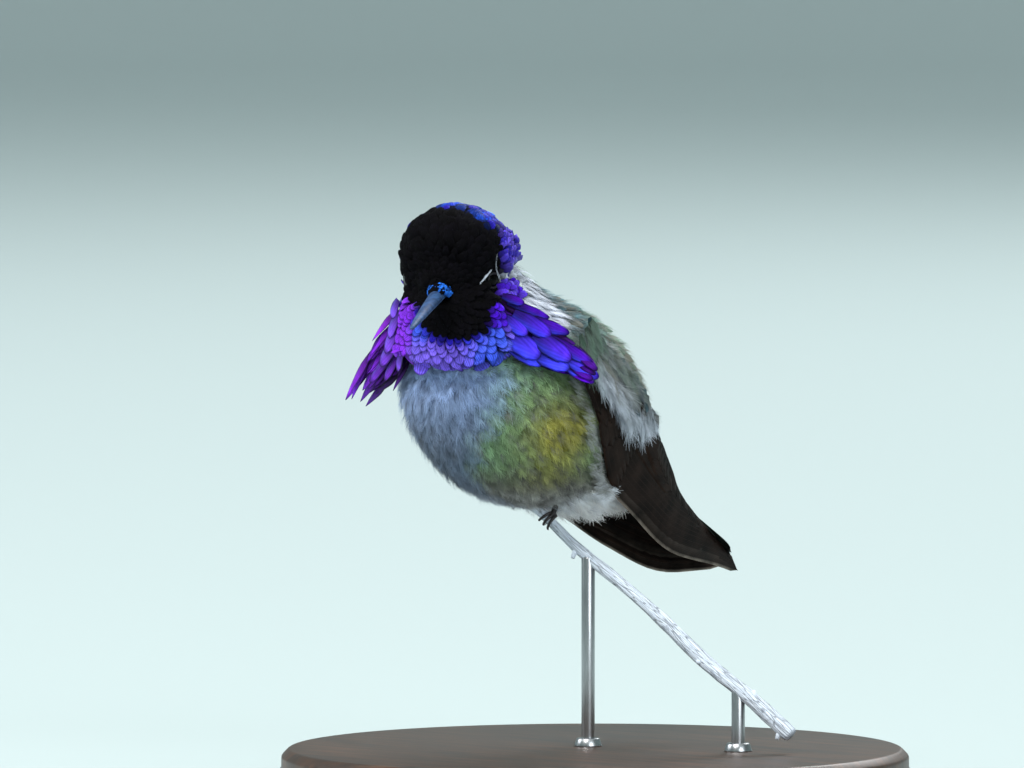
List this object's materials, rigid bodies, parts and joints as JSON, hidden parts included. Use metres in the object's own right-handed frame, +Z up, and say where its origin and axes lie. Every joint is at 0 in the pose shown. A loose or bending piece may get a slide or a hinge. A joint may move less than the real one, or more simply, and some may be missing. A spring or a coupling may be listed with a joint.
{
  "type": "hummingbird",
  "caption": "Life-size model of a resting male hummingbird, feathers fluffed and head turned, gripping a cut twig held over a plain round display stand.",
  "frame": {"origin": "middle of the underside of the stand's round base", "axes": "+Z up, -Y ahead of the bird's body, +X to the bird's left"},
  "size_m": [0.076, 0.076, 0.0703],
  "materials": {
    "crown": "velvety black feathers with violet and blue glints",
    "gorget": "iridescent violet and blue scale feathers",
    "nape": "soft grey-brown feathers with a white stripe",
    "plumage": "soft feathers, grey-white breast, green back and flanks",
    "flight_feathers": "dark brown vanes with a slight sheen",
    "tail_feathers": "blackish vanes",
    "bill": "slate-blue horn, satin",
    "eye": "near-black, wet gloss",
    "foot": "black scaled skin",
    "bark": "weathered pale bark with fine cracks",
    "stand_rod": "brushed",
    "stand_base": "dark stained hardwood, satin"
  },
  "bodies": {
    "root": {"head": "crown", "bill_upper": "bill", "bill_lower": "bill", "eye_left": "eye", "eye_right": "eye", "gorget": "gorget", "gorget_flare_left": "gorget", "gorget_flare_right": "gorget", "neck": "nape", "trunk": "plumage", "wing_left": "flight_feathers", "wing_right": "flight_feathers", "tail": "tail_feathers", "leg_right": "foot", "leg_left": "foot", "twig": "bark", "stand_rod_1": "stand_rod", "stand_rod_2": "stand_rod", "stand_base": "stand_base"}
  },
  "joints": []
}
